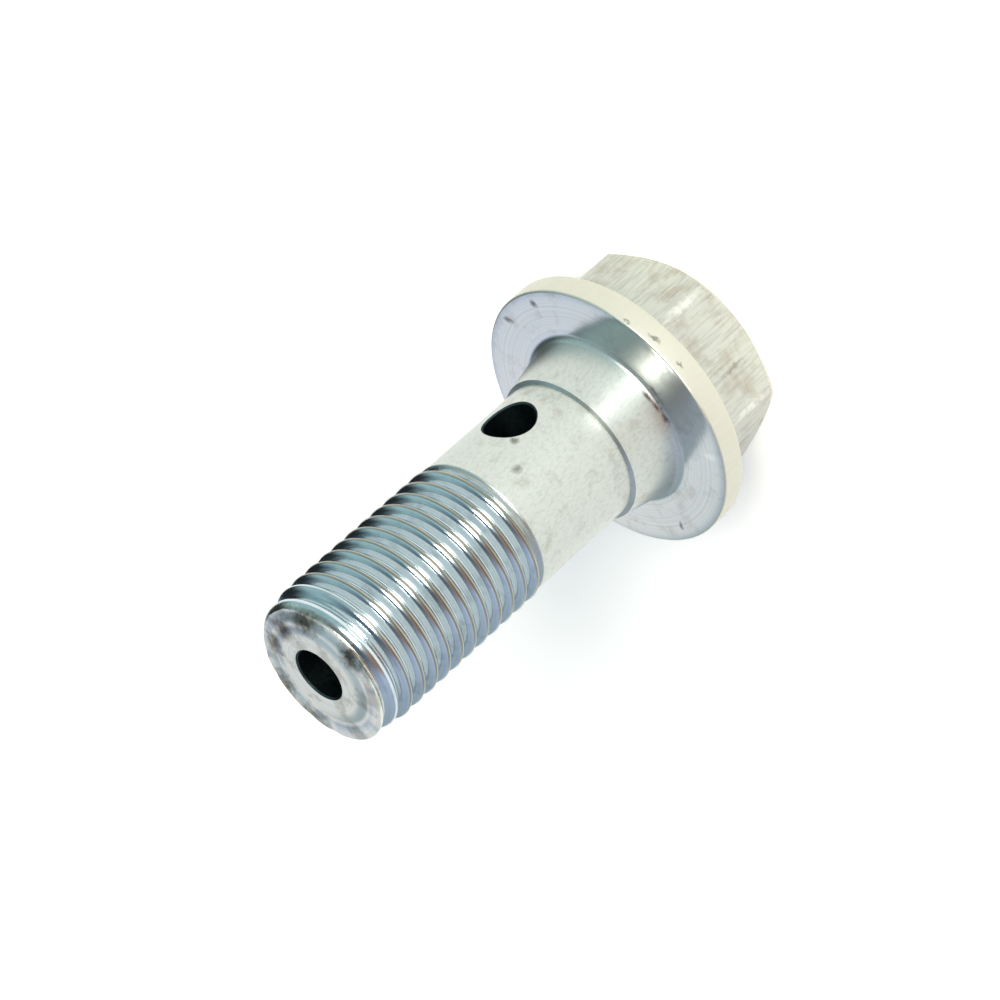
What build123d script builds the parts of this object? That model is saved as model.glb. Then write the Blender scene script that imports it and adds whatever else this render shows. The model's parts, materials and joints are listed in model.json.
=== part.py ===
from build123d import *
import math
import os

# Banjo bolt for a hydraulic line: one steel piece with a hexagon head on a wide flange, a tapered
# neck and a shank for the banjo eye, and a thread. Fluid passes through a blind bore up the axis
# and a cross hole in the shank. All sizes are in millimetres.
#
# The bolt stands on its head. Its axis is Z, the bearing face under the flange is at Z = 0,
# the shank and thread rise from it and the head is below it. The cross hole runs along X.

# Heights from the bearing face
BOLT_LENGTH = 24.3            # bearing face to the end of the thread
THREAD_LENGTH = 13.5
THREAD_RUN_OUT = 0.3          # last part of the thread, sloping down to the shank
NECK_LENGTH = 3.15            # tapered neck that centres the banjo eye and its washer
NECK_STEP = 0.1               # height of the slope from the neck in to the shank
HEAD_HEIGHT = 7.2             # bearing face to the top of the head
FLANGE_RIM_HEIGHT = 1.6

# Diameters
THREAD_DIA = 9.42             # over the crests of a 3/8-24 UNF thread
SHANK_DIA = 9.1
NECK_TOP_DIA = 9.6
NECK_BASE_DIA = 10.9          # where the taper would meet the bearing face
FLANGE_DIA = 17.3

# Hexagon head
HEX_ACROSS_FLATS = 12.5
HEX_CORNER_RADIUS = 0.4
HEX_TURN = 23.3               # degrees from the cross hole to the next corner
FLANGE_BACK_SLOPE = 28.5      # degrees, from the rim to the hexagon
HEAD_CHAMFER_DIA = 12.1       # flat circle left on top of the head
HEAD_CHAMFER_SLOPE = 38.0     # degrees

# End face: a flat ring round the bore, then a shallow hollow inside the raised first turn
END_RING_DIA = 5.46
END_HOLLOW_DIA = 7.1          # deepest circle of the hollow
END_HOLLOW_DEPTH = 0.25

# Edges
TIP_CHAMFER = 0.45
UNDERHEAD_FILLET = 0.4
RIM_FRONT_RADIUS = 0.15
RIM_BACK_RADIUS = 0.2

# Fluid passages
BORE_DIA = 3.2
BORE_BEVEL = 0.1
BORE_PAST_CROSS_HOLE = 0.5    # full bore beyond the far side of the cross hole
DRILL_POINT_ANGLE = 118.0
CROSS_HOLE_DIA = 3.1
CROSS_HOLE_BEVEL = 0.1
CROSS_HOLE_HEIGHT = 6.46      # bearing face to the centre of the cross hole


def tangent(degrees):
    return math.tan(math.radians(degrees))


def corner(sketch, radius, height):
    return sketch.vertices().sort_by_distance((radius, height, 0))[0]


def turn(profile):
    """Solid of revolution from a half section drawn with the radius as X and the height as Y."""
    return revolve(Plane.XZ * profile, Axis.Z)


def turned_profile():
    """Half section of the thread blank, shank, neck and flange."""
    tip_radius, shank_radius = THREAD_DIA / 2, SHANK_DIA / 2
    neck_top_radius, neck_base_radius = NECK_TOP_DIA / 2, NECK_BASE_DIA / 2
    rim_radius, inside_hexagon = FLANGE_DIA / 2, HEX_ACROSS_FLATS / 4
    thread_start = BOLT_LENGTH - THREAD_LENGTH
    cone_height = FLANGE_RIM_HEIGHT + (rim_radius - inside_hexagon) * tangent(FLANGE_BACK_SLOPE)
    profile = make_face(Polyline(
        (0, BOLT_LENGTH),
        (END_RING_DIA / 2, BOLT_LENGTH),
        (END_HOLLOW_DIA / 2, BOLT_LENGTH - END_HOLLOW_DEPTH),
        (tip_radius - TIP_CHAMFER, BOLT_LENGTH),
        (tip_radius, BOLT_LENGTH - TIP_CHAMFER),
        (tip_radius, thread_start + THREAD_RUN_OUT),
        (shank_radius, thread_start),
        (shank_radius, NECK_LENGTH + NECK_STEP),
        (neck_top_radius, NECK_LENGTH),
        (neck_base_radius, 0),
        (rim_radius, 0),
        (rim_radius, -FLANGE_RIM_HEIGHT),
        (inside_hexagon, -cone_height),
        (0, -cone_height),
        close=True,
    ))
    profile = fillet(corner(profile, neck_base_radius, 0), UNDERHEAD_FILLET)
    profile = fillet(corner(profile, rim_radius, 0), RIM_FRONT_RADIUS)
    return fillet(corner(profile, rim_radius, -FLANGE_RIM_HEIGHT), RIM_BACK_RADIUS)


def hexagon_head():
    """Hexagon standing out of the flange, its far corners cut back by a cone."""
    root = -FLANGE_RIM_HEIGHT / 2
    corner_radius = HEX_ACROSS_FLATS / math.sqrt(3)
    section = RegularPolygon(corner_radius, 6, rotation=HEX_TURN)
    section = fillet(section.vertices(), HEX_CORNER_RADIUS)
    prism = extrude(Pos(0, 0, -HEAD_HEIGHT) * section, HEAD_HEIGHT + root)
    flat_radius = HEAD_CHAMFER_DIA / 2
    cone_height = (corner_radius - flat_radius) * tangent(HEAD_CHAMFER_SLOPE)
    envelope = make_face(Polyline(
        (0, root),
        (corner_radius, root),
        (corner_radius, cone_height - HEAD_HEIGHT),
        (flat_radius, -HEAD_HEIGHT),
        (0, -HEAD_HEIGHT),
        close=True,
    ))
    return prism & turn(envelope)


def cross_drill():
    """Drill through both walls of the shank."""
    drill = Cylinder(CROSS_HOLE_DIA / 2, FLANGE_DIA, rotation=(0, 90, 0))
    return Pos(0, 0, CROSS_HOLE_HEIGHT) * drill


def axial_drill():
    """Blind bore from the end of the thread to just past the cross hole, with its drill point."""
    radius = BORE_DIA / 2
    bottom = CROSS_HOLE_HEIGHT - CROSS_HOLE_DIA / 2 - BORE_PAST_CROSS_HOLE
    return turn(make_face(Polyline(
        (0, BOLT_LENGTH),
        (radius + BORE_BEVEL, BOLT_LENGTH),
        (radius, BOLT_LENGTH - BORE_BEVEL),
        (radius, bottom),
        (0, bottom - radius / tangent(DRILL_POINT_ANGLE / 2)),
        close=True,
    )))


def cross_hole_edges(bolt):
    """The two saddle-shaped edges where the cross hole leaves the shank."""
    hole_centre = Vector(0, 0, CROSS_HOLE_HEIGHT)
    hole_radius = CROSS_HOLE_DIA / 2

    def is_mouth(edge):
        offset = edge.center(CenterOf.BOUNDING_BOX) - hole_centre
        return abs(offset.Z) < hole_radius < min(abs(offset.X), edge.length)

    return bolt.edges().filter_by(is_mouth)


def banjo_bolt():
    bolt = turn(turned_profile()) + hexagon_head() - cross_drill()
    bolt = chamfer(cross_hole_edges(bolt), CROSS_HOLE_BEVEL)
    return bolt - axial_drill()


os.makedirs("parts", exist_ok=True)
export_step(banjo_bolt(), "parts/banjo_bolt.step")
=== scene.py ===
"""Looks of a banjo bolt: one piece of rolled, turned and forged steel with a bright zinc plate.

The bolt stands on its head. Its axis is Z, the bearing face under the flange is at Z = 0, the
shank and thread rise from it and the hexagon is below it. The cross hole runs along X.
Sizes are in millimetres until the finished mesh is scaled to metres.
"""

import json
import logging
import math
from dataclasses import dataclass, field
from enum import Enum
from typing import Callable, Iterable, Sequence

import bpy
import numpy as np
from mathutils import Matrix, Vector

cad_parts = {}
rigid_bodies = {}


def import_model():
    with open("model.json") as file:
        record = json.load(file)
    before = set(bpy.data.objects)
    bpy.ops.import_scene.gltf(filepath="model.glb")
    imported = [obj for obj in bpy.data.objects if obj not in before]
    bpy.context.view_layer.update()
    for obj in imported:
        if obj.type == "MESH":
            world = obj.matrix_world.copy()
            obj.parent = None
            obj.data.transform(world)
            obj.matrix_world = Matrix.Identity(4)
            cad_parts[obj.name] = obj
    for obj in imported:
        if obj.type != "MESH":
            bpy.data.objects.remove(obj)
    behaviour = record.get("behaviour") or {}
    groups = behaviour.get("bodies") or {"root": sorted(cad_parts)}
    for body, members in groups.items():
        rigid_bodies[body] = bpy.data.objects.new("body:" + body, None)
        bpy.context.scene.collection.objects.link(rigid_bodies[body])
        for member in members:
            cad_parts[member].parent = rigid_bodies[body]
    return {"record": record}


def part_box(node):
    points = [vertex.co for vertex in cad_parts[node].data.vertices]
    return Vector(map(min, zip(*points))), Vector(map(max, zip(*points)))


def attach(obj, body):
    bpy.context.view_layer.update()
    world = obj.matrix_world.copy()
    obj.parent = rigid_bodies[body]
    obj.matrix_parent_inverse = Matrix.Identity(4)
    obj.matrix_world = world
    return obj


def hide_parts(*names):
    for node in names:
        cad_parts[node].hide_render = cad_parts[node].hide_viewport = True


LOG = logging.getLogger("banjo_bolt")

NODE = "banjo_bolt"
BODY = "root"

MM = 0.001                    # one millimetre in metres
COLUMNS = 240                 # facets round every turned surface, so that all of them meet
MERGE_MM = 0.003              # points nearer than this are one point
CREASE_DEG = 32.0             # edges sharper than this stay crisp

Outline = list[tuple[float, float]]


# ---------------------------------------------------------------------------------------------
# Small tools
# ---------------------------------------------------------------------------------------------

def linear(colour: str) -> tuple[float, float, float, float]:
    """Turn an sRGB hex colour into the linear RGBA that shaders take.

    Args:
        colour: six hex digits after a hash sign.

    Returns:
        Linear red, green and blue, with an alpha of one.
    """
    channels = [int(colour[i:i + 2], 16) / 255 for i in (1, 3, 5)]
    decoded = [c / 12.92 if c <= 0.04045 else ((c + 0.055) / 1.055) ** 2.4 for c in channels]
    return (*decoded, 1.0)


def smooth_step(low: float, high: float, value: np.ndarray) -> np.ndarray:
    """Rise smoothly from nought at low to one at high."""
    t = np.clip((value - low) / (high - low), 0, 1)
    return t * t * (3 - 2 * t)


def deselect_all() -> None:
    """Leave nothing selected and nothing active."""
    bpy.ops.object.select_all(action="DESELECT")
    bpy.context.view_layer.objects.active = None


def pick(piece: bpy.types.Object) -> None:
    """Make one object the only one selected, and the active one."""
    deselect_all()
    piece.select_set(True)
    bpy.context.view_layer.objects.active = piece


def arc(centre: tuple[float, float], radius: float, start: float, end: float, steps: int) -> Outline:
    """Points along an arc in the half section.

    Args:
        centre: radius and height of the arc's centre.
        radius: the arc's own radius.
        start: angle of the first point in degrees, from the radius axis towards the height axis.
        end: angle of the last point in degrees.
        steps: number of spans.

    Returns:
        The points, both ends included.
    """
    angles = [math.radians(start + (end - start) * i / steps) for i in range(steps + 1)]
    return [(centre[0] + radius * math.cos(a), centre[1] + radius * math.sin(a)) for a in angles]


def draw_outline(name: str, points: Outline) -> bpy.types.Object:
    """Draw an open half section in the XZ plane, one extruded point after another.

    Args:
        name: name of the new object.
        points: radius and height of each corner.

    Returns:
        An object that holds the chain of edges.
    """
    deselect_all()
    bpy.ops.mesh.primitive_plane_add(size=1.0, location=(points[0][0], 0, points[0][1]))
    piece = bpy.context.object
    piece.name = name
    bpy.ops.object.transform_apply(location=True, rotation=True, scale=True)
    bpy.ops.object.mode_set(mode="EDIT")
    bpy.ops.mesh.select_mode(type="VERT")
    bpy.ops.mesh.select_all(action="SELECT")
    bpy.ops.mesh.merge(type="CENTER")
    for (r0, z0), (r1, z1) in zip(points, points[1:]):
        step = (r1 - r0, 0, z1 - z0)
        bpy.ops.mesh.extrude_vertices_move(TRANSFORM_OT_translate={"value": step})
    bpy.ops.object.mode_set(mode="OBJECT")
    return piece


def spin_outline(name: str, points: Outline) -> bpy.types.Object:
    """Turn a half section once round Z.

    Args:
        name: name of the new object.
        points: radius and height of each corner.

    Returns:
        The turned mesh, its seam and poles merged.
    """
    piece = draw_outline(name, points)
    bpy.ops.object.mode_set(mode="EDIT")
    bpy.ops.mesh.select_all(action="SELECT")
    bpy.ops.mesh.spin(steps=COLUMNS, angle=2 * math.pi, center=(0, 0, 0), axis=(0, 0, 1))
    bpy.ops.mesh.select_all(action="SELECT")
    bpy.ops.mesh.remove_doubles(threshold=MERGE_MM)
    bpy.ops.mesh.normals_make_consistent(inside=False)
    bpy.ops.object.mode_set(mode="OBJECT")
    return piece


def settle_order(piece: bpy.types.Object) -> None:
    """Put points and faces in one fixed order, since a Boolean leaves them in any.

    Args:
        piece: the mesh to rewrite, in millimetres.
    """
    points = np.round(coordinates(piece), 5)
    order = np.lexsort(points.T)
    rank = np.argsort(order)
    faces = []
    for face in piece.data.polygons:
        loop = [int(rank[i]) for i in face.vertices]
        first = loop.index(min(loop))
        faces.append(loop[first:] + loop[:first])
    piece.data.clear_geometry()
    piece.data.from_pydata(points[order].tolist(), [], sorted(faces))
    piece.data.update()


def combine(piece: bpy.types.Object, tool: bpy.types.Object, operation: str) -> None:
    """Apply a Boolean modifier to a piece and delete the tool.

    Args:
        piece: the solid that is changed.
        tool: the solid that cuts, joins or limits it.
        operation: UNION, DIFFERENCE or INTERSECT.
    """
    pick(piece)
    modifier = piece.modifiers.new("boolean", "BOOLEAN")
    modifier.operation = operation
    modifier.solver = "EXACT"
    modifier.object = tool
    bpy.ops.object.modifier_apply(modifier=modifier.name)
    bpy.data.objects.remove(tool)
    settle_order(piece)


def coordinates(piece: bpy.types.Object) -> np.ndarray:
    """Read a mesh's points as rows of x, y, z."""
    flat = np.zeros(len(piece.data.vertices) * 3, np.float32)
    piece.data.vertices.foreach_get("co", flat)
    return flat.reshape(-1, 3).astype(float)


def place(piece: bpy.types.Object, points: np.ndarray) -> None:
    """Write rows of x, y, z back to a mesh."""
    piece.data.vertices.foreach_set("co", points.astype(np.float32).ravel())
    piece.data.update()


def reshape(piece: bpy.types.Object, rule: Callable[..., tuple[np.ndarray, np.ndarray]]) -> None:
    """Move each point of a turned mesh in its own half plane.

    Args:
        piece: the mesh to change.
        rule: takes radius, height and azimuth in degrees, and returns the new radius and height.
    """
    points = coordinates(piece)
    radius = np.hypot(points[:, 0], points[:, 1])
    azimuth = np.degrees(np.arctan2(points[:, 1], points[:, 0]))
    new_radius, new_height = rule(radius, points[:, 2], azimuth)
    turn = np.radians(azimuth)
    place(piece, np.stack([new_radius * np.cos(turn), new_radius * np.sin(turn), new_height], 1))


# ---------------------------------------------------------------------------------------------
# Sizes
# ---------------------------------------------------------------------------------------------

@dataclass
class BoltSizes:
    """Driving sizes of the bolt in millimetres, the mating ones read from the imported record."""

    thread_radius: float
    bore_radius: float
    cross_hole_radius: float
    cross_hole_height: float
    rim_radius: float
    tip_height: float
    head_height: float

    shank_radius: float = 4.55
    thread_length: float = 13.5
    rim_height: float = 1.6

    @classmethod
    def from_frame(cls, record: dict) -> "BoltSizes":
        """Take the mating sizes from the record and the overall ones from the node's box.

        Args:
            record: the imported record.

        Returns:
            The sizes of this bolt.
        """
        mounts = {mount["name"]: mount for mount in record["mounts"]}
        low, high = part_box(NODE)
        return cls(
            thread_radius=mounts["thread"]["dims"]["r_mm"],
            bore_radius=mounts["fluid_bore"]["dims"]["r_mm"],
            cross_hole_radius=mounts["cross_hole"]["dims"]["r_mm"],
            cross_hole_height=mounts["cross_hole"]["pos_m"][2] / MM,
            rim_radius=high.x / MM,
            tip_height=high.z / MM,
            head_height=-low.z / MM,
        )

    @property
    def thread_start(self) -> float:
        """Height at which the thread leaves the shank."""
        return self.tip_height - self.thread_length


# ---------------------------------------------------------------------------------------------
# Sub-assemblies
# ---------------------------------------------------------------------------------------------

@dataclass
class TurnedBlank:
    """Flange, tapered neck and plain shank, turned from the forging."""

    sizes: BoltSizes
    neck_length: float = 3.15
    neck_step: float = 0.1
    neck_top_radius: float = 4.8
    neck_base_radius: float = 5.45
    underhead_fillet: float = 0.4
    back_slope_deg: float = 28.5
    rim_front_radius: float = 0.15
    rim_back_radius: float = 0.2
    face_fall: float = 0.06           # how far the bearing face falls from the neck to the rim
    closing_radius: float = 3.1       # where the cone ends, inside the hexagon
    shank_rows: int = 24

    def outline(self) -> Outline:
        """Half section from the axis under the flange, round the rim, to the end of the shank."""
        s = self.sizes
        slope = math.radians(self.back_slope_deg)
        cone_drop = (s.rim_radius - self.closing_radius) * math.tan(slope)
        cone_height = -s.rim_height - cone_drop
        back, front = self.rim_back_radius, self.rim_front_radius
        back_centre = (s.rim_radius - back, -s.rim_height + back * math.tan((math.pi / 2 - slope) / 2))
        front_centre = (s.rim_radius - front, -self.face_fall - front)
        taper = math.atan2(self.neck_base_radius - self.neck_top_radius, self.neck_length)
        fillet = self.underhead_fillet
        setback = fillet * math.tan((math.pi / 2 - taper) / 2)
        fillet_centre = (self.neck_base_radius + setback, fillet)
        step_top = self.neck_length + self.neck_step
        points: Outline = [(0.0, cone_height), (self.closing_radius, cone_height)]
        points += arc(back_centre, back, self.back_slope_deg - 90, 0, 5)
        points += arc(front_centre, front, 0, 90, 5)
        flat = s.rim_radius - front - fillet_centre[0]
        points += [(s.rim_radius - front - flat * i / 6, -self.face_fall * (1 - i / 6))
                   for i in range(1, 6)]
        points += arc(fillet_centre, fillet, 270, 180 + math.degrees(taper), 10)
        foot = points[-1]
        points += [(foot[0] + (self.neck_top_radius - foot[0]) * i / 4,
                    foot[1] + (self.neck_length - foot[1]) * i / 4) for i in range(1, 5)]
        rise = s.thread_start - step_top
        points += [(s.shank_radius, step_top + rise * i / self.shank_rows)
                   for i in range(self.shank_rows + 1)]
        points += [(0.0, s.thread_start)]
        return points

    def build(self) -> bpy.types.Object:
        """Turn the outline into a closed solid, flat where the thread will join it."""
        return spin_outline("turned_blank", self.outline())


@dataclass
class HexagonHead:
    """Forged hexagon that stands out of the flange's cone, its far corners cut by a chamfer."""

    sizes: BoltSizes
    across_flats: float = 12.5
    corner_radius: float = 0.4
    corner_azimuth_deg: float = 23.3
    flat_top_radius: float = 6.05
    chamfer_slope_deg: float = 38.0
    root_depth: float = 0.8           # how far below the bearing face the prism starts

    def prism(self) -> bpy.types.Object:
        """Hexagonal prism with rounded corners."""
        height = self.sizes.head_height - self.root_depth
        middle = -(self.sizes.head_height + self.root_depth) / 2
        deselect_all()
        bpy.ops.mesh.primitive_cylinder_add(
            vertices=6, radius=self.across_flats / math.sqrt(3), depth=height,
            location=(0, 0, middle), rotation=(0, 0, math.radians(self.corner_azimuth_deg - 90)))
        piece = bpy.context.object
        piece.name = "hexagon"
        bpy.ops.object.transform_apply(location=True, rotation=True, scale=True)
        bpy.ops.object.mode_set(mode="EDIT")
        bpy.ops.mesh.select_mode(type="EDGE")
        bpy.ops.mesh.select_all(action="DESELECT")
        bpy.ops.object.mode_set(mode="OBJECT")
        points = piece.data.vertices
        for edge in piece.data.edges:
            ends = [points[i].co for i in edge.vertices]
            edge.select = abs(ends[0].z - ends[1].z) > height / 2
        bpy.ops.object.mode_set(mode="EDIT")
        setback = self.corner_radius * math.tan(math.radians(30))
        bpy.ops.mesh.bevel(offset=setback, offset_type="OFFSET", segments=6, affect="EDGES")
        bpy.ops.object.mode_set(mode="OBJECT")
        return piece

    def envelope(self) -> bpy.types.Object:
        """Turned solid that leaves the head its flat top and chamfer."""
        widest = self.across_flats / math.sqrt(3) + 1.0
        rise = (widest - self.flat_top_radius) * math.tan(math.radians(self.chamfer_slope_deg))
        top = -self.sizes.head_height
        return spin_outline("chamfer_envelope", [
            (0.0, top), (self.flat_top_radius, top), (widest, top + rise),
            (widest, 0.2), (0.0, 0.2)])

    def build(self) -> bpy.types.Object:
        """Cut the prism to its envelope."""
        piece = self.prism()
        combine(piece, self.envelope(), "INTERSECT")
        return piece


@dataclass
class FluidPassages:
    """Tools for the blind bore up the axis and the cross hole that meets it."""

    sizes: BoltSizes
    bore_past_cross_hole: float = 0.5
    drill_point_deg: float = 118.0
    mouth_bevel: float = 0.1
    mouth_facets: int = 96

    def axial_tool(self) -> bpy.types.Object:
        """Drill with its point, up to just above the end of the shank."""
        s = self.sizes
        bottom = s.cross_hole_height - s.cross_hole_radius - self.bore_past_cross_hole
        point = bottom - s.bore_radius / math.tan(math.radians(self.drill_point_deg / 2))
        top = s.thread_start + 1.0
        return spin_outline("axial_tool", [
            (0.0, point), (s.bore_radius, bottom), (s.bore_radius, top), (0.0, top)])

    def cross_tool(self) -> bpy.types.Object:
        """Drill along X, flared at both ends to follow the saddle where it leaves the shank."""
        s = self.sizes
        deselect_all()
        bpy.ops.mesh.primitive_cylinder_add(
            vertices=self.mouth_facets, radius=s.cross_hole_radius, depth=2.0,
            location=(0, 0, 0), rotation=(0, math.pi / 2, 0))
        piece = bpy.context.object
        piece.name = "cross_tool"
        bpy.ops.object.transform_apply(location=True, rotation=True, scale=True)
        for side in (-1, 1):
            for _ in range(2):
                self.extrude_end(piece, side)
        place(piece, self.flared(coordinates(piece)))
        return piece

    def extrude_end(self, piece: bpy.types.Object, side: int) -> None:
        """Extrude one end face of the drill a millimetre further along X.

        Args:
            piece: the drill.
            side: minus one or one, the end that grows.
        """
        pick(piece)
        bpy.ops.object.mode_set(mode="EDIT")
        bpy.ops.mesh.select_mode(type="FACE")
        bpy.ops.mesh.select_all(action="DESELECT")
        bpy.ops.object.mode_set(mode="OBJECT")
        for face in piece.data.polygons:
            face.select = face.normal.x * side > 0.9
        bpy.ops.object.mode_set(mode="EDIT")
        bpy.ops.mesh.extrude_region_move(TRANSFORM_OT_translate={"value": (side, 0, 0)})
        bpy.ops.object.mode_set(mode="OBJECT")

    def flared(self, points: np.ndarray) -> np.ndarray:
        """Seat the drill's rings below, on and well outside the saddle.

        Args:
            points: rows of the straight drill, its rings at 1, 2 and 3 mm on both sides.

        Returns:
            Rows with the bevel opened at both mouths and the drill at its height.
        """
        s = self.sizes
        ring = np.round(np.abs(points[:, 0])).astype(int)
        side = np.sign(points[:, 0])
        widening = np.array([0.0, 0.0, self.mouth_bevel, 2 * self.mouth_bevel])[ring]
        scale = 1 + widening / s.cross_hole_radius
        across, up = points[:, 1] * scale, points[:, 2] * scale
        surface = np.sqrt(s.shank_radius ** 2 - np.minimum(across ** 2, s.shank_radius ** 2 / 2))
        along = np.where(ring == 1, surface - self.mouth_bevel, surface)
        along = np.where(ring == 3, s.rim_radius, along)
        return np.stack([side * along, across, up + s.cross_hole_height], 1)


@dataclass
class RolledThread:
    """Right-hand thread rolled on the end of the bolt, with its worn crests and cupped end face."""

    sizes: BoltSizes
    pitch: float = 25.4 / 24
    depth_share: float = 0.55         # depth of thread as a share of the pitch
    rolled_form: Outline = field(default_factory=lambda: [
        (0.0, 0.0), (0.08, 0.015), (0.15, 0.08), (0.22, 0.20), (0.30, 0.36), (0.40, 0.54),
        (0.50, 0.69), (0.60, 0.80), (0.70, 0.88), (0.80, 0.94), (0.90, 0.98), (1.0, 1.0)])
    crest_azimuth_deg: float = -66.7  # where the crest lies at crest_below_tip
    crest_below_tip: float = 0.99
    run_out: float = 0.55             # height over which the grooves rise to the shank
    worn_length: float = 2.2          # reach of the lower crests from the tip
    worn_depth: float = 0.27
    annulus_radius: float = 2.73      # flat ring left round the bore
    valley_radius: float = 3.55
    valley_depth: float = 0.12
    lip_drop_high: float = 0.02       # how far the lip lies below the end plane at its highest
    lip_drop_low: float = 0.3
    lip_from_deg: float = -47.0       # azimuth where the lip begins to rise, turning clockwise
    chip_depth: float = 0.07          # deepest of the dents along the lip
    bore_bevel: float = 0.1

    def half_pitch_section(self) -> Outline:
        """Radius against height from the middle of a root to the middle of the next crest."""
        root = self.sizes.thread_radius - self.depth_share * self.pitch
        return [(root + depth * self.depth_share * self.pitch, share * self.pitch / 2)
                for share, depth in self.rolled_form]

    def pitch_section(self) -> Outline:
        """One whole pitch, from root to root."""
        half = self.half_pitch_section()
        mirrored = [(r, self.pitch - z) for r, z in reversed(half[:-1])]
        return half + mirrored

    def crest_phase(self, height: np.ndarray, azimuth: np.ndarray) -> np.ndarray:
        """Height above the nearest crest, between minus and plus half a pitch."""
        crest = self.sizes.tip_height - self.crest_below_tip
        crest = crest + self.pitch * (azimuth - self.crest_azimuth_deg) / 360
        return (height - crest + self.pitch / 2) % self.pitch - self.pitch / 2

    def lip_drop(self, azimuth: np.ndarray) -> np.ndarray:
        """How far below the end plane the thread ends, round the bolt."""
        turned = (self.lip_from_deg - azimuth) % 360
        rise = smooth_step(0, 50, turned) * (1 - smooth_step(215, 300, turned))
        a = np.radians(azimuth)
        chips = np.clip(np.sin(5 * a + 0.7) + np.sin(11 * a) + np.sin(17 * a + 1.7), 0, 2) / 2
        return self.lip_drop_low + (self.lip_drop_high - self.lip_drop_low) * rise \
            + self.chip_depth * chips

    def shape(self, radius: np.ndarray, height: np.ndarray,
              azimuth: np.ndarray) -> tuple[np.ndarray, np.ndarray]:
        """End the helical strip at the shank and the tip, and wear its first crests.

        Args:
            radius: radius of each point, not used.
            height: height of each point.
            azimuth: azimuth of each point in degrees.

        Returns:
            The new radii and heights.
        """
        s = self.sizes
        top = s.tip_height - self.lip_drop(azimuth)
        new_height = np.clip(height, s.thread_start, top)
        below_tip = s.tip_height - new_height
        wear_and_outer_tint = self.worn_depth * (1 - smooth_step(0.5, self.worn_length, below_tip))
        root = s.thread_radius - self.depth_share * self.pitch
        full = self.rolled_radius(new_height, azimuth)
        new_radius = root + (full - root) * (1 - wear_and_outer_tint / (self.depth_share * self.pitch))
        fade = smooth_step(0, self.run_out, new_height - s.thread_start)
        new_radius = s.shank_radius + (new_radius - s.shank_radius) * fade
        return new_radius, new_height

    def strip(self) -> bpy.types.Object:
        """Helical strip over the whole thread, cut to its two ends."""
        s = self.sizes
        turns = math.ceil(s.thread_length / self.pitch) + 3
        lowest = s.thread_start - 1.5 * self.pitch
        shift = self.crest_phase(np.array([lowest]), np.array([0.0]))[0]
        start = lowest - shift - self.pitch / 2
        section = [(r, z + start) for r, z in self.pitch_section()]
        piece = draw_outline("thread", section)
        screw = piece.modifiers.new("screw", "SCREW")
        screw.axis = "Z"
        screw.angle = 2 * math.pi
        screw.screw_offset = self.pitch
        screw.iterations = turns
        screw.steps = COLUMNS
        screw.render_steps = COLUMNS
        screw.use_merge_vertices = False
        pick(piece)
        bpy.ops.object.modifier_apply(modifier=screw.name)
        reshape(piece, self.shape)
        return piece

    def tip_outline(self) -> Outline:
        """Half section of the end face from the lip in to the bore, and the bore's wall."""
        s = self.sizes
        top, outer = s.tip_height, s.thread_radius
        bore = s.bore_radius
        points: Outline = [(outer, top)]
        points += [(outer - 0.1 * i, top) for i in range(1, 4)]
        points += [(self.valley_radius + 0.15 * (3 - i), top) for i in range(7)]
        points += [(self.annulus_radius + 0.04, top), (self.annulus_radius, top)]
        points += [(self.annulus_radius - (self.annulus_radius - bore - self.bore_bevel) * i / 4, top)
                   for i in range(1, 5)]
        points += [(bore, top - self.bore_bevel)]
        rise = top - self.bore_bevel - s.thread_start
        points += [(bore, top - self.bore_bevel - rise * i / 12) for i in range(1, 13)]
        return points

    def shape_tip(self, radius: np.ndarray, height: np.ndarray,
                  azimuth: np.ndarray) -> tuple[np.ndarray, np.ndarray]:
        """Cup the end face and carry its outer edge to the end of the strip.

        Args:
            radius: radius of each point.
            height: height of each point.
            azimuth: azimuth of each point in degrees.

        Returns:
            The new radii and heights.
        """
        s = self.sizes
        drop = self.lip_drop(azimuth)
        edge_radius, _ = self.shape(radius, s.tip_height - drop, azimuth)
        share = np.clip((radius - self.annulus_radius) / (s.thread_radius - self.annulus_radius), 0, 1)
        reach = self.annulus_radius + (edge_radius - self.annulus_radius) * share
        new_radius = np.where(radius > self.annulus_radius, reach, radius)
        slope = smooth_step(0, 1, share)
        valley_share = ((self.valley_radius - self.annulus_radius)
                        / (s.thread_radius - self.annulus_radius))
        hollow = np.exp(-((share - valley_share) / 0.22) ** 2)
        hollow = hollow * smooth_step(0, 0.16, share) * (1 - smooth_step(0.8, 1, share))
        sink = drop * slope + (self.valley_depth - drop * slope) * hollow
        on_face = height > s.tip_height - 0.5 * self.bore_bevel
        return new_radius, np.where(on_face & (share > 0), s.tip_height - sink, height)

    def rolled_radius(self, height: np.ndarray, azimuth: np.ndarray) -> np.ndarray:
        """Radius of the unworn thread at a height and azimuth."""
        section = self.pitch_section()
        heights = np.array([z for _, z in section])
        radii = np.array([r for r, _ in section])
        phase = (self.crest_phase(height, azimuth) + self.pitch / 2) % self.pitch
        return np.interp(phase, heights, radii)

    def build(self) -> bpy.types.Object:
        """Join the strip to the end face, as an open shell that ends at the shank."""
        strip = self.strip()
        tip = spin_outline("tip", self.tip_outline())
        reshape(tip, self.shape_tip)
        pick(strip)
        tip.select_set(True)
        bpy.ops.object.join()
        return strip


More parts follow.
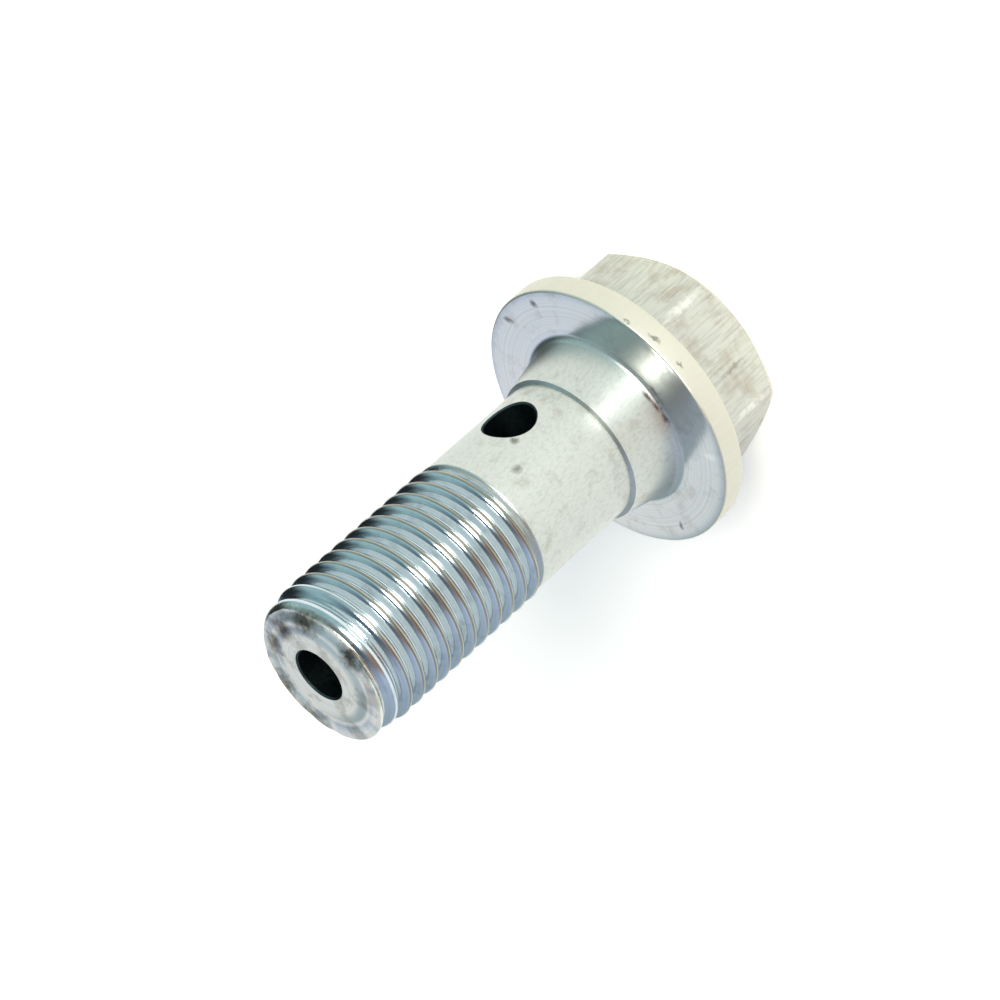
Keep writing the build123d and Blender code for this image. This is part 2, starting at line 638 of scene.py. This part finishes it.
@dataclass
class BanjoBolt:
    """The whole bolt: blank, hexagon, passages and thread, in one closed mesh."""

    sizes: BoltSizes
    materials: list[bpy.types.Material] = field(default_factory=list)
    faced_from: float = 5.5           # inner radius of the faced ring on the flange
    face_band: float = 0.07           # height that the dished bearing face takes up
    rolled_from: float = 0.4          # height above the shank's end where the rolled finish begins
    tip_band: float = 0.6             # height of the finish on the thread's end
    hole_inset: float = 0.02          # how far inside the shank's surface a hole's wall begins
    bore_reach: float = 1.8           # radius that holds the bore's wall

    def body(self) -> bpy.types.Object:
        """Head, flange and shank with their holes, open where the thread joins."""
        piece = TurnedBlank(self.sizes).build()
        combine(piece, HexagonHead(self.sizes).build(), "UNION")
        passages = FluidPassages(self.sizes)
        combine(piece, passages.cross_tool(), "DIFFERENCE")
        combine(piece, passages.axial_tool(), "DIFFERENCE")
        self.open_end(piece)
        return piece

    def open_end(self, piece: bpy.types.Object) -> None:
        """Delete the flat ring at the end of the shank."""
        pick(piece)
        bpy.ops.object.mode_set(mode="EDIT")
        bpy.ops.mesh.select_mode(type="FACE")
        bpy.ops.mesh.select_all(action="DESELECT")
        bpy.ops.object.mode_set(mode="OBJECT")
        end = self.sizes.thread_start
        for face in piece.data.polygons:
            face.select = face.normal.z > 0.9 and abs(face.center.z - end) < MERGE_MM
        bpy.ops.object.mode_set(mode="EDIT")
        bpy.ops.mesh.delete(type="FACE")
        bpy.ops.object.mode_set(mode="OBJECT")

    def build(self) -> bpy.types.Object:
        """Weld the thread to the body, scale it to metres and dress it."""
        piece = self.body()
        LOG.info("body: %d faces", len(piece.data.polygons))
        thread = RolledThread(self.sizes).build()
        LOG.info("thread: %d faces", len(thread.data.polygons))
        pick(piece)
        thread.select_set(True)
        bpy.ops.object.join()
        piece.name = "plated_banjo_bolt"
        bpy.ops.object.mode_set(mode="EDIT")
        bpy.ops.mesh.select_mode(type="VERT")
        bpy.ops.mesh.select_all(action="SELECT")
        bpy.ops.mesh.remove_doubles(threshold=MERGE_MM)
        bpy.ops.mesh.dissolve_degenerate(threshold=MERGE_MM / 10)
        bpy.ops.mesh.normals_make_consistent(inside=False)
        bpy.ops.object.mode_set(mode="OBJECT")
        self.dress(piece)
        piece.data.transform(Matrix.Scale(MM, 4))
        pick(piece)
        bpy.ops.object.shade_smooth_by_angle(angle=math.radians(CREASE_DEG))
        return piece

    def dress(self, piece: bpy.types.Object) -> None:
        """Give each face the finish of its zone."""
        s = self.sizes
        piece.data.materials.clear()
        for material in self.materials:
            piece.data.materials.append(material)
        faces = piece.data.polygons
        centres = np.zeros(len(faces) * 3, np.float32)
        normals = np.zeros(len(faces) * 3, np.float32)
        faces.foreach_get("center", centres)
        faces.foreach_get("normal", normals)
        centres, normals = centres.reshape(-1, 3), normals.reshape(-1, 3)
        radius, height = np.hypot(centres[:, 0], centres[:, 1]), centres[:, 2]
        outward = (centres[:, :2] * normals[:, :2]).sum(1) / np.maximum(radius, 0.01)
        zones = np.full(len(faces), Zone.TURNED.value)
        zones[height < 0] = Zone.FORGED.value
        on_face = (height > -self.face_band) & (height < 0.01) & (radius > self.faced_from)
        zones[on_face] = Zone.FACED.value
        zones[height > s.thread_start + self.rolled_from] = Zone.ROLLED.value
        zones[height > s.tip_height - self.tip_band] = Zone.TIP.value
        in_shank = (height > 0) & (height < s.thread_start)
        drilled = in_shank & (radius < s.shank_radius - self.hole_inset)
        bored = (outward < -0.5) & (height > 0) & (radius < self.bore_reach)
        # faces in the bore and the cross hole get the dark finish, which is painted shade
        zones[drilled | bored] = Zone.DRILLED.value
        faces.foreach_set("material_index", zones.astype(np.int32))


# ---------------------------------------------------------------------------------------------
# Finishes
# ---------------------------------------------------------------------------------------------

def add_node(tree: bpy.types.NodeTree, kind: str, settings: dict | None = None,
             links: dict | None = None) -> bpy.types.Node:
    """Add one node to a tree.

    Args:
        tree: the node tree.
        kind: Blender's name of the node's type.
        settings: attributes, and input values by socket name or number.
        links: output sockets to join to this node's inputs, by socket name or number.

    Returns:
        The new node.
    """
    node = tree.nodes.new(kind)
    for key, value in (settings or {}).items():
        if isinstance(key, int) or key in node.inputs:
            node.inputs[key].default_value = value
        else:
            setattr(node, key, value)
    for key, output in (links or {}).items():
        tree.links.new(output, node.inputs[key])
    return node


class Grain(Enum):
    """Which way the fine marks in a surface run."""

    AXIAL = "along the bolt's axis"
    ROUND = "round the bolt's axis"
    MIXED = "every way"


@dataclass(frozen=True)
class BlemishOrPaintedLight:
    """One mark on the plate, an oval with a ragged edge: mostly nicks, scratches and stains, and a few
    spots of painted highlight and painted shade.
    """

    place: tuple[float, float, float]         # millimetres
    reach: tuple[float, float, float]         # half width each way in millimetres
    colour: str
    strength: float = 0.8
    fade: tuple[float, float] = (0.3, 1.15)   # shares of the reach where the mark fades out

    def over(self, tree: bpy.types.NodeTree, place_mm: bpy.types.NodeSocket,
             colour: bpy.types.NodeSocket) -> bpy.types.NodeSocket:
        """Lay the mark over a colour.

        Args:
            tree: the material's nodes.
            place_mm: object coordinates in millimetres, shaken for the ragged edge.
            colour: what the surface has without the mark.

        Returns:
            The colour with the mark.
        """
        offset = add_node(tree, "ShaderNodeVectorMath", {"operation": "SUBTRACT", 1: self.place},
                          {0: place_mm}).outputs[0]
        share = add_node(tree, "ShaderNodeVectorMath", {"operation": "DIVIDE", 1: self.reach},
                         {0: offset}).outputs[0]
        distance = add_node(tree, "ShaderNodeVectorMath", {"operation": "LENGTH"},
                            {0: share}).outputs["Value"]
        factor = ZincPlate.ranged(tree, distance, *self.fade, self.strength, 0)
        return ZincPlate.mixed(tree, factor, colour, linear(self.colour))


@dataclass(frozen=True)
class ZincPlate:
    """Bright zinc plate over one kind of steel surface: a pale mirror, softened by fine marks."""

    name: str
    grain: Grain
    colour: str = "#e2e5e2"
    stain: str = "#b6b4a8"            # duller, slightly yellow patches of the passivation
    stain_size: float = 1.6
    stain_from: float = 0.52          # noise value at which the patches begin
    stain_to: float = 0.72
    stain_strength: float = 0.6
    grain_size: float = 0.12
    grain_depth: float = 0.002
    grain_tone: float = 0.14          # how much darker the marks are than the plate
    smooth: float = 0.12              # least and greatest roughness
    rough: float = 0.22
    outer_tint_from: float = 0.0            # radius beyond which the colour turns to outer_tint, nought for none
    outer_tint: str = "#8a7c60"
    mark_colour: str = "#4a4d50"
    stretch: float = 0.4              # how long marks along the axis are, the smaller the longer
    ragged: float = 0.35              # how far the edge of a blemish or painted spot wanders, in millimetres
    # blemishes, and spots of painted highlight and painted shade
    blemishes_and_painted_light: tuple[BlemishOrPaintedLight, ...] = ()

    def marks(self, tree: bpy.types.NodeTree, place_mm: bpy.types.NodeSocket,
              radius_mm: bpy.types.NodeSocket) -> bpy.types.NodeSocket:
        """Noise drawn out the way the marks run.

        Args:
            tree: the material's nodes.
            place_mm: object coordinates in millimetres.
            radius_mm: distance from the axis in millimetres.

        Returns:
            The noise, about nought to one.
        """
        fine = 1 / self.grain_size
        if self.grain is Grain.ROUND:
            around = add_node(tree, "ShaderNodeCombineXYZ", {"Y": 0.0}, {"X": radius_mm})
            source, stretch = around.outputs[0], (fine, fine, fine)
        elif self.grain is Grain.AXIAL:
            source, stretch = place_mm, (fine, fine, fine * self.stretch)
        else:
            source, stretch = place_mm, (fine, fine, fine)
        drawn = add_node(tree, "ShaderNodeVectorMath", {"operation": "MULTIPLY", 1: stretch},
                         {0: source})
        noise = add_node(tree, "ShaderNodeTexNoise", {"Scale": 1.0, "Detail": 3.0},
                         {"Vector": drawn.outputs[0]})
        return noise.outputs[0]

    def material(self) -> bpy.types.Material:
        """Build the material."""
        material = bpy.data.materials.new(self.name)
        material.use_nodes = True
        tree = material.node_tree
        tree.nodes.clear()
        coordinate = add_node(tree, "ShaderNodeTexCoord").outputs["Object"]
        place_mm = add_node(tree, "ShaderNodeVectorMath", {"operation": "SCALE", "Scale": 1 / MM},
                            {0: coordinate}).outputs[0]
        flat = add_node(tree, "ShaderNodeVectorMath", {"operation": "MULTIPLY", 1: (1, 1, 0)},
                        {0: place_mm}).outputs[0]
        radius_mm = add_node(tree, "ShaderNodeVectorMath", {"operation": "LENGTH"},
                             {0: flat}).outputs["Value"]
        marks = self.marks(tree, place_mm, radius_mm)
        patches = add_node(tree, "ShaderNodeTexNoise",
                           {"Scale": 1 / self.stain_size, "Detail": 6.0, "Roughness": 0.6},
                           {"Vector": place_mm}).outputs[0]
        stained = self.ranged(tree, patches, self.stain_from, self.stain_to,
                              0.0, self.stain_strength)
        colour = self.mixed(tree, stained, linear(self.colour), linear(self.stain))
        toned = self.ranged(tree, marks, 0.45, 0.7, 0.0, self.grain_tone)
        colour = self.mixed(tree, toned, colour, linear(self.mark_colour))
        if self.outer_tint_from:
            wear_and_outer_tint = self.ranged(tree, radius_mm, self.outer_tint_from, self.outer_tint_from + 0.03, 0, 1)
            colour = self.mixed(tree, wear_and_outer_tint, colour, linear(self.outer_tint))
        colour = self.with_blemishes_and_painted_light(tree, place_mm, colour)
        roughness = self.ranged(tree, marks, 0.3, 0.7, self.smooth, self.rough)
        relief = add_node(tree, "ShaderNodeBump", {"Distance": self.grain_depth * MM},
                          {"Height": marks})
        shader = add_node(tree, "ShaderNodeBsdfPrincipled", {"Metallic": 1.0}, {
            "Base Color": colour, "Roughness": roughness, "Normal": relief.outputs[0]})
        add_node(tree, "ShaderNodeOutputMaterial", links={"Surface": shader.outputs[0]})
        return material

    def with_blemishes_and_painted_light(self, tree: bpy.types.NodeTree, place_mm: bpy.types.NodeSocket,
                  colour: bpy.types.NodeSocket) -> bpy.types.NodeSocket:
        """Lay every blemish and every spot of painted light or shade over the colour, its edge shaken
        by a fine noise.
        """
        if not self.blemishes_and_painted_light:
            return colour
        noise = add_node(tree, "ShaderNodeTexNoise", {"Scale": 3.0, "Detail": 3.0},
                         {"Vector": place_mm}).outputs["Color"]
        centred = add_node(tree, "ShaderNodeVectorMath", {
            "operation": "SUBTRACT", 1: (0.5, 0.5, 0.5)}, {0: noise}).outputs[0]
        shake = add_node(tree, "ShaderNodeVectorMath", {
            "operation": "SCALE", "Scale": 2 * self.ragged}, {0: centred}).outputs[0]
        shaken = add_node(tree, "ShaderNodeVectorMath", {"operation": "ADD"},
                          {0: place_mm, 1: shake}).outputs[0]
        for blemish_or_painted_light in self.blemishes_and_painted_light:
            colour = blemish_or_painted_light.over(tree, shaken, colour)
        return colour

    @staticmethod
    def ranged(tree: bpy.types.NodeTree, value: bpy.types.NodeSocket, low: float, high: float,
               new_low: float, new_high: float) -> bpy.types.NodeSocket:
        """Map a value from one range to another, clamped."""
        node = add_node(tree, "ShaderNodeMapRange", {
            "From Min": low, "From Max": high, "To Min": new_low, "To Max": new_high},
            {"Value": value})
        return node.outputs[0]

    @staticmethod
    def mixed(tree: bpy.types.NodeTree, factor: bpy.types.NodeSocket, first, second,
              ) -> bpy.types.NodeSocket:
        """Mix two colours, each a socket or an RGBA value."""
        node = add_node(tree, "ShaderNodeMixRGB", links={0: factor})
        for number, colour in ((1, first), (2, second)):
            if isinstance(colour, tuple):
                node.inputs[number].default_value = colour
            else:
                tree.links.new(colour, node.inputs[number])
        return node.outputs[0]


class Zone(Enum):
    """Parts of the bolt's surface that are finished differently, by material number."""

    FORGED = 0
    TURNED = 1
    FACED = 2
    ROLLED = 3
    TIP = 4
    DRILLED = 5


# Forged: dull, with long upright scratches, a lighter cream band round the rim and pale streaks up two
# corners.
# Turned: satin, softly stained, with a dark streak at the foot of the neck.
# Faced: brighter, with fine rings, a few nicks and one pale spot of painted highlight. Rolled:
# brightest, with olive crests.
# Thread end: pale, with brown blotches, partly where the plate has gone and partly painted shade in
# the hollow of the end face. Drilled: dark and rough, its dark colour painted shade.
FINISHES = {
    Zone.FORGED: ZincPlate("zinc_plate_on_forged_head", Grain.AXIAL, colour="#cccec6",
                           stain="#a89a88", stain_size=1.4, stain_from=0.5, grain_size=0.16,
                           grain_depth=0.004, grain_tone=0.2, smooth=0.42, rough=0.56,
                           outer_tint_from=8.4, outer_tint="#d8d6c8", stretch=0.1, blemishes_and_painted_light=(
                               BlemishOrPaintedLight((6.4, -5.8, -0.6), (0.5, 0.5, 0.16), "#77746a"),
                               BlemishOrPaintedLight((7.4, -4.3, -0.3), (0.3, 0.3, 0.14), "#77746a"),
                               BlemishOrPaintedLight((4.9, -7.1, -0.6), (0.3, 0.3, 0.14), "#77746a"),
                               BlemishOrPaintedLight((7.2, -1.4, -3.6), (1.6, 0.14, 2.2), "#8c8c84", 0.5),
                               BlemishOrPaintedLight((1.5, -6.2, -5.1), (0.16, 0.5, 1.1), "#8c8278", 0.6),
                               BlemishOrPaintedLight((5.7, -4.2, -4.6), (0.3, 0.3, 1.9), "#f2f2ec", 0.7),
                               BlemishOrPaintedLight((-0.8, -7.0, -4.6), (0.3, 0.3, 1.9), "#f2f2ec", 0.7))),
    Zone.TURNED: ZincPlate("zinc_plate_on_turned_shank", Grain.AXIAL, colour="#ccd0ca",
                           stain="#aaa79c", stain_size=1.2, stain_from=0.55,
                           smooth=0.28, rough=0.38, ragged=0.2, blemishes_and_painted_light=(
                               BlemishOrPaintedLight((2.8, -4.6, 0.25), (0.5, 0.5, 0.2), "#5c4044"),
                               BlemishOrPaintedLight((2.2, -5.0, 0.2), (0.5, 0.4, 0.16), "#5c4044"),
                               BlemishOrPaintedLight((1.4, -5.3, 0.15), (0.5, 0.3, 0.12), "#5c4044"),
                               BlemishOrPaintedLight((4.3, -1.5, 7.7), (0.3, 0.3, 0.3), "#6c6a62"),
                               BlemishOrPaintedLight((3.6, -2.7, 9.1), (0.3, 0.3, 0.4), "#7c7a70"))),
    Zone.FACED: ZincPlate("zinc_plate_on_faced_flange", Grain.ROUND, grain_size=0.16,
                          grain_depth=0.004, smooth=0.14, rough=0.22, ragged=0.15, blemishes_and_painted_light=(
                              BlemishOrPaintedLight((7.4, 2.8, 0), (0.3, 0.3, 0.3), "#4a4c4e"),
                              BlemishOrPaintedLight((5.7, 5.5, 0), (0.24, 0.45, 0.3), "#5a5c58"),
                              BlemishOrPaintedLight((-6.9, -3.3, 0), (0.35, 0.2, 0.3), "#5a6068"),
                              # painted highlight: this pale spot on the flange's face is a glint, not
                              # a mark
                              BlemishOrPaintedLight((-0.9, -7.7, 0), (0.3, 0.5, 0.3), "#f4f6f6"))),
    Zone.ROLLED: ZincPlate("zinc_plate_on_rolled_thread", Grain.ROUND, colour="#ced8dc",
                           stain="#a8b4b8", grain_size=0.1, grain_depth=0.0015,
                           outer_tint_from=4.675, outer_tint="#86806a"),
    Zone.TIP: ZincPlate("zinc_plate_on_thread_end", Grain.ROUND, colour="#e0e2da",
                        stain="#8a8474", stain_size=1.6, stain_from=0.5, stain_to=0.62,
                        stain_strength=0.5, smooth=0.2, rough=0.3, ragged=0.5,
                        blemishes_and_painted_light=(
                            # brown blotches in the hollow of the end face, partly where the plate has
                            # gone and partly painted shade
                            BlemishOrPaintedLight((3.7, -0.4, 24.1), (1.0, 1.2, 0.6), "#5a5240", 0.95),
                            BlemishOrPaintedLight((2.6, 1.7, 24.2), (0.8, 0.9, 0.6), "#5a5240", 0.95),
                            BlemishOrPaintedLight((1.3, 3.0, 24.1), (1.0, 0.7, 0.6), "#5a5240", 0.95),
                            BlemishOrPaintedLight((2.0, -3.2, 24.1), (1.1, 0.8, 0.6), "#4c463a", 0.95),
                            BlemishOrPaintedLight((-1.9, 3.7, 24.1), (1.3, 0.9, 0.6), "#5a5240", 0.9),
                            BlemishOrPaintedLight((-3.6, 2.2, 24.1), (0.7, 1.3, 0.6), "#5a5240", 0.8))),
    # painted shade: the walls of the bore and the cross hole are coloured dark
    Zone.DRILLED: ZincPlate("zinc_plate_in_holes_with_painted_shade", Grain.MIXED, colour="#3c4a4c",
                            stain="#23282a", smooth=0.3, rough=0.45),
}


# ---------------------------------------------------------------------------------------------
# Studio
# ---------------------------------------------------------------------------------------------

def bearing(azimuth_deg: float, elevation_deg: float) -> Vector:
    """Unit vector towards a place in the room.

    Args:
        azimuth_deg: from X towards Y.
        elevation_deg: above the floor.

    Returns:
        The direction from the bolt.
    """
    a, e = math.radians(azimuth_deg), math.radians(elevation_deg)
    return Vector((math.cos(e) * math.cos(a), math.cos(e) * math.sin(a), math.sin(e)))


@dataclass
class Camera:
    """Long lens that looks down on the standing bolt and is rolled so that it leans in the frame."""

    azimuth_deg: float = -51.7
    elevation_deg: float = 29.655
    roll_deg: float = -131.8
    distance: float = 220.06
    aim: tuple[float, float, float] = (0.42, 0.33, 8.70)
    lens: float = 141.99
    sensor: float = 36.0

    def build(self) -> bpy.types.Object:
        """Place the camera and make it the scene's own."""
        data = bpy.data.cameras.new("camera")
        data.lens = self.lens
        data.sensor_width = self.sensor
        data.clip_start = 0.005
        camera = bpy.data.objects.new("camera", data)
        bpy.context.scene.collection.objects.link(camera)
        towards = bearing(self.azimuth_deg, self.elevation_deg)
        place_at = (Vector(self.aim) + towards * self.distance) * MM
        upright = towards.to_track_quat("Z", "Y").to_matrix().to_4x4()
        roll = Matrix.Rotation(math.radians(self.roll_deg), 4, "Z")
        camera.matrix_world = Matrix.Translation(place_at) @ upright @ roll
        bpy.context.scene.camera = camera
        return camera


@dataclass
class Softbox:
    """One rectangular lamp aimed at the bolt."""

    name: str
    azimuth_deg: float
    elevation_deg: float
    distance: float
    width: float
    height: float
    radiance: float
    colour: str = "#ffffff"

    def build(self) -> bpy.types.Object:
        """Place the lamp. Its power follows from its size and the brightness of its face."""
        data = bpy.data.lights.new(self.name, "AREA")
        data.shape = "RECTANGLE"
        data.size = self.width
        data.size_y = self.height
        data.energy = self.radiance * math.pi * self.width * self.height
        data.color = linear(self.colour)[:3]
        lamp = bpy.data.objects.new(self.name, data)
        bpy.context.scene.collection.objects.link(lamp)
        towards = bearing(self.azimuth_deg, self.elevation_deg)
        turned = towards.to_track_quat("Z", "Y").to_matrix().to_4x4()
        lamp.matrix_world = Matrix.Translation(towards * self.distance) @ turned
        return lamp


class Tone(Enum):
    """Colours of the plain walls round the bolt."""

    WHITE = "#ffffff"
    SKY = "#ccd6ee"
    GREY = "#a8b8c2"
    COOL = "#b0d0d4"
    WARM = "#ac8c7c"
    SLATE = "#4f6474"
    BLACK = "#24282c"


@dataclass(frozen=True)
class Card:
    """Tone of the room at one bearing."""

    azimuth_deg: float
    tone: Tone


@dataclass(frozen=True)
class Ring:
    """Cards round the bolt at one elevation, blending into one another."""

    elevation_deg: float
    cards: tuple[Card, ...]

    def socket(self, tree: bpy.types.NodeTree, turn: bpy.types.NodeSocket) -> bpy.types.NodeSocket:
        """Colour ramp round the ring.

        Args:
            tree: the world's nodes.
            turn: bearing as a share of a turn, from minus half a turn.

        Returns:
            Colour of the ring.
        """
        ramp = add_node(tree, "ShaderNodeValToRGB", links={0: turn})
        stops = sorted((((card.azimuth_deg / 360) + 0.5) % 1.0, linear(card.tone.value))
                       for card in self.cards)
        elements = ramp.color_ramp.elements
        first, last = stops[0], stops[-1]
        seam = (1 - last[0]) / (first[0] + 1 - last[0])
        ends = [a + (b - a) * seam for a, b in zip(last[1], first[1])]
        elements[0].position, elements[1].position = 0.0, 1.0
        elements[0].color = elements[1].color = ends
        for position, colour in stops:
            elements.new(position).color = colour
        return ramp.outputs[0]


@dataclass
class Studio:
    """Plain pale floor, a room of a few plain tones, and two softboxes."""

    sizes: BoltSizes
    floor_size: float = 0.32           # a sheet on a table, with the room beyond its edge
    floor_colour: str = "#faf6ee"
    floor_glow: float = 0.3
    ceiling: Tone = Tone.SLATE
    walls: Ring = Ring(30, (
        Card(60, Tone.COOL), Card(-60, Tone.COOL), Card(-75, Tone.WARM), Card(-100, Tone.WARM),
        Card(-120, Tone.SKY), Card(150, Tone.GREY), Card(138, Tone.GREY), Card(130, Tone.WHITE),
        Card(120, Tone.SKY), Card(100, Tone.BLACK), Card(80, Tone.BLACK)))
    upper_walls: Ring = Ring(58, (
        Card(60, Tone.COOL), Card(-10, Tone.SLATE), Card(-90, Tone.SLATE), Card(-170, Tone.SKY)))
    lamps: Sequence[Softbox] = (
        Softbox("key", -44.0, 38, 1.0, 0.4, 0.4, 20.0, "#fffaf4"),
        Softbox("front_strip", -44.0, 5, 0.12, 0.04, 0.03, 4.0),
    )

    def floor(self) -> bpy.types.Object:
        """Plain floor under the head, white to the camera and to the metal, with its shadows."""
        deselect_all()
        height = -self.sizes.head_height * MM
        bpy.ops.mesh.primitive_plane_add(size=self.floor_size, location=(0, 0, height))
        floor = bpy.context.object
        floor.name = "floor"
        material = bpy.data.materials.new("matt_white_floor")
        material.use_nodes = True
        tree = material.node_tree
        tree.nodes.clear()
        paint = add_node(tree, "ShaderNodeBsdfDiffuse", {"Color": linear(self.floor_colour)})
        glow = add_node(tree, "ShaderNodeMath", {"operation": "MULTIPLY", 1: self.floor_glow},
                        {0: self.seen(tree)})
        emission = add_node(tree, "ShaderNodeEmission", {"Color": (1, 1, 1, 1)},
                            {"Strength": glow.outputs[0]})
        both = add_node(tree, "ShaderNodeAddShader",
                        links={0: paint.outputs[0], 1: emission.outputs[0]})
        add_node(tree, "ShaderNodeOutputMaterial", links={"Surface": both.outputs[0]})
        floor.data.materials.append(material)
        return floor

    @staticmethod
    def seen(tree: bpy.types.NodeTree) -> bpy.types.NodeSocket:
        """One for rays from the camera, a mirror or glass, and nought for light that spreads."""
        path = add_node(tree, "ShaderNodeLightPath")
        value = path.outputs["Is Camera Ray"]
        for ray in ("Is Glossy Ray", "Is Transmission Ray"):
            value = add_node(tree, "ShaderNodeMath", {"operation": "MAXIMUM"},
                             {0: value, 1: path.outputs[ray]}).outputs[0]
        return value

    def world(self) -> None:
        """Room of soft walls and a ceiling, blended by elevation, and white to the camera."""
        world = bpy.data.worlds.new("room")
        bpy.context.scene.world = world
        world.use_nodes = True
        tree = world.node_tree
        tree.nodes.clear()
        direction = add_node(tree, "ShaderNodeTexCoord").outputs["Generated"]
        rise = add_node(tree, "ShaderNodeSeparateXYZ", links={0: direction}).outputs["Z"]
        turn = add_node(tree, "ShaderNodeTexGradient", {"gradient_type": "RADIAL"},
                        {"Vector": direction}).outputs["Fac"]
        low, high = self.walls.elevation_deg, self.upper_walls.elevation_deg
        colour = ZincPlate.mixed(tree, self.blend(tree, rise, low, high),
                                 self.walls.socket(tree, turn), self.upper_walls.socket(tree, turn))
        colour = ZincPlate.mixed(tree, self.blend(tree, rise, high, 90), colour,
                                 linear(self.ceiling.value))
        camera_ray = add_node(tree, "ShaderNodeLightPath").outputs["Is Camera Ray"]
        colour = ZincPlate.mixed(tree, camera_ray, colour, linear(Tone.WHITE.value))
        background = add_node(tree, "ShaderNodeBackground", {"Strength": 1.0}, {"Color": colour})
        add_node(tree, "ShaderNodeOutputWorld", links={"Surface": background.outputs[0]})

    @staticmethod
    def blend(tree: bpy.types.NodeTree, rise: bpy.types.NodeSocket, low_deg: float,
              high_deg: float) -> bpy.types.NodeSocket:
        """Share of the way from one elevation to another."""
        low, high = (math.sin(math.radians(angle)) for angle in (low_deg, high_deg))
        return ZincPlate.ranged(tree, rise, low, high, 0, 1)

    def build(self) -> None:
        """Set up the floor, the room and the lamps."""
        self.floor()
        self.world()
        for lamp in self.lamps:
            lamp.build()
        bpy.context.scene.view_settings.view_transform = "Standard"


# ---------------------------------------------------------------------------------------------


def main(frame: dict) -> None:
    """Build the bolt and its studio.
    """
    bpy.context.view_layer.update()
    sizes = BoltSizes.from_frame(frame["record"])
    bolt = BanjoBolt(sizes, [FINISHES[zone].material() for zone in Zone]).build()
    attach(bolt, BODY)
    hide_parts(NODE)
    LOG.info("%s: %d faces", bolt.name, len(bolt.data.polygons))
    Studio(sizes).build()
    Camera().build()
    LOG.info("studio ready")


if __name__ == "__main__":
    logging.basicConfig(level=logging.INFO)
    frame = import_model()
    main(frame)
